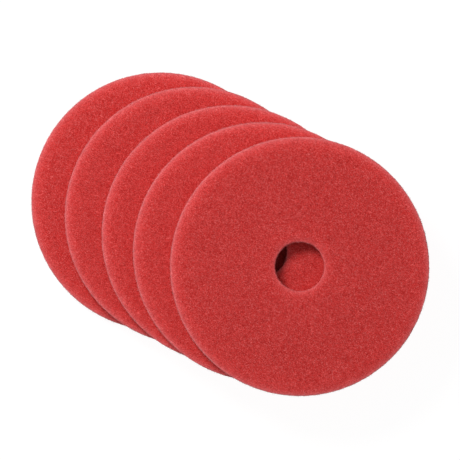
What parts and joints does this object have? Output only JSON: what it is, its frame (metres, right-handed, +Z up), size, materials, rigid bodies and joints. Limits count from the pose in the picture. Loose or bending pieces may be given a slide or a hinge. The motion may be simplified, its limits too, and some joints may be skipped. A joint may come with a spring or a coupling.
{
  "type": "floor pad set",
  "caption": "Fanned stack of loose round buffing pads for a rotary floor machine, each a thick red disc of bonded non-woven fibre web with an open centre hole.",
  "frame": {"origin": "under the middle of the fan's footprint, on the surface that the bottom pad lies on", "axes": "+X along the fan, from the bottom pad to the top one; +Y to its left; +Z up, out of the pads' faces"},
  "size_m": [0.689, 0.4376, 0.1282],
  "materials": {
    "fibre_web": "matt red non-woven fibre web with paler fuzz along its die-cut edges"
  },
  "bodies": {
    "pad_1": {"pad_1": "fibre_web"},
    "pad_2": {"pad_2": "fibre_web"},
    "pad_3": {"pad_3": "fibre_web"},
    "pad_4": {"pad_4": "fibre_web"},
    "pad_5": {"pad_5": "fibre_web"}
  },
  "joints": [
    {"name": "pad_2_slide", "type": "slide", "parent": "pad_1", "child": "pad_2", "axis": [0.9996, 0.0276, 0], "range_m": [-0.06152, 0.015]},
    {"name": "pad_3_slide", "type": "slide", "parent": "pad_2", "child": "pad_3", "axis": [0.9996, -0.0288, 0], "range_m": [-0.06933, 0.015]},
    {"name": "pad_4_slide", "type": "slide", "parent": "pad_3", "child": "pad_4", "axis": [0.9981, -0.0621, 0], "range_m": [-0.05961, 0.015]},
    {"name": "pad_5_slide", "type": "slide", "parent": "pad_4", "child": "pad_5", "axis": [0.9982, 0.0597, 0], "range_m": [-0.06702, 0.015]}
  ]
}
